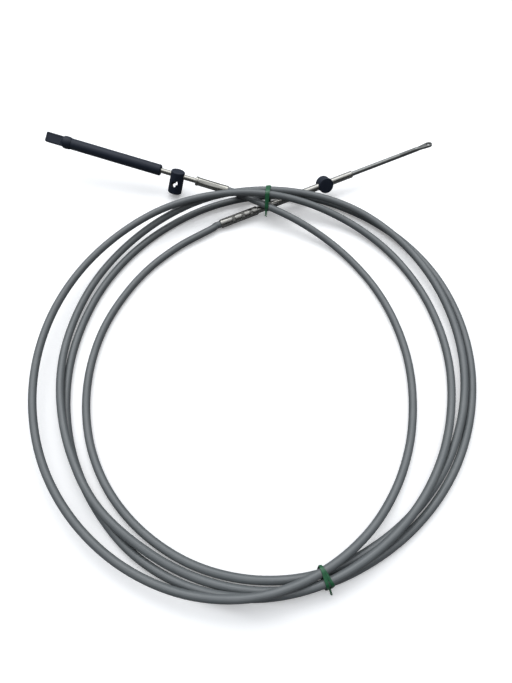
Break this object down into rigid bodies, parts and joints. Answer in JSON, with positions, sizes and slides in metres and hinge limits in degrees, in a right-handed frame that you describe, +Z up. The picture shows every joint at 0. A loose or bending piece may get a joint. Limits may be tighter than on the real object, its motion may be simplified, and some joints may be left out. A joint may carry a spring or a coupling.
{
  "type": "push-pull control cable",
  "caption": "Coiled grey push-pull control cable held by twist ties, with a sliding rod and eye at one end, a sliding sleeve and terminal at the other, and a swivel barrel on each end tube.",
  "frame": {"origin": "on the floor, under the middle of the bounding box", "axes": "+Z up from the floor, +Y from the coil's middle towards the end fittings, +X towards the eye of the control rod"},
  "size_m": [0.4722, 0.5176, 0.0528],
  "materials": {
    "jacket": "satin grey extruded plastic with a fine grain",
    "steel": "bright drawn stainless steel, crimped at the hubs",
    "black_plastic": "blue-black moulded plastic, slightly glossy",
    "tie": "green plastic-coated wire"
  },
  "bodies": {
    "cable": {"outer_jacket": "jacket", "engine_hub": "steel", "engine_tube": "steel", "control_hub": "steel", "control_tube": "steel", "twist_tie_top": "tie", "twist_tie_bottom": "tie"},
    "control_slider": {"control_rod": "steel"},
    "engine_slider": {"engine_sleeve": "black_plastic", "engine_terminal": "black_plastic"},
    "engine_swivel": {"engine_barrel": "black_plastic"},
    "control_swivel": {"control_barrel": "black_plastic"}
  },
  "joints": [
    {"name": "rod_slide", "type": "slide", "parent": "cable", "child": "control_slider", "axis": [0.9204, 0.3831, 0.0785], "range_m": [-0.076, 0]},
    {"name": "sleeve_slide", "type": "slide", "parent": "cable", "child": "engine_slider", "axis": [-0.96, 0.2358, 0.1513], "range_m": [0, 0.076]},
    {"name": "engine_barrel_swivel", "type": "hinge", "parent": "cable", "child": "engine_swivel", "pos_m": [-0.0808, 0.20845, 0.02375], "axis": [-0.96, 0.2358, 0.1513], "continuous": true},
    {"name": "control_barrel_swivel", "type": "hinge", "parent": "cable", "child": "control_swivel", "pos_m": [0.09314, 0.20117, 0.01621], "axis": [0.9204, 0.3831, 0.0785], "continuous": true}
  ],
  "couplings": [
    {"joint": "sleeve_slide", "follows": "rod_slide", "ratio": -1}
  ]
}
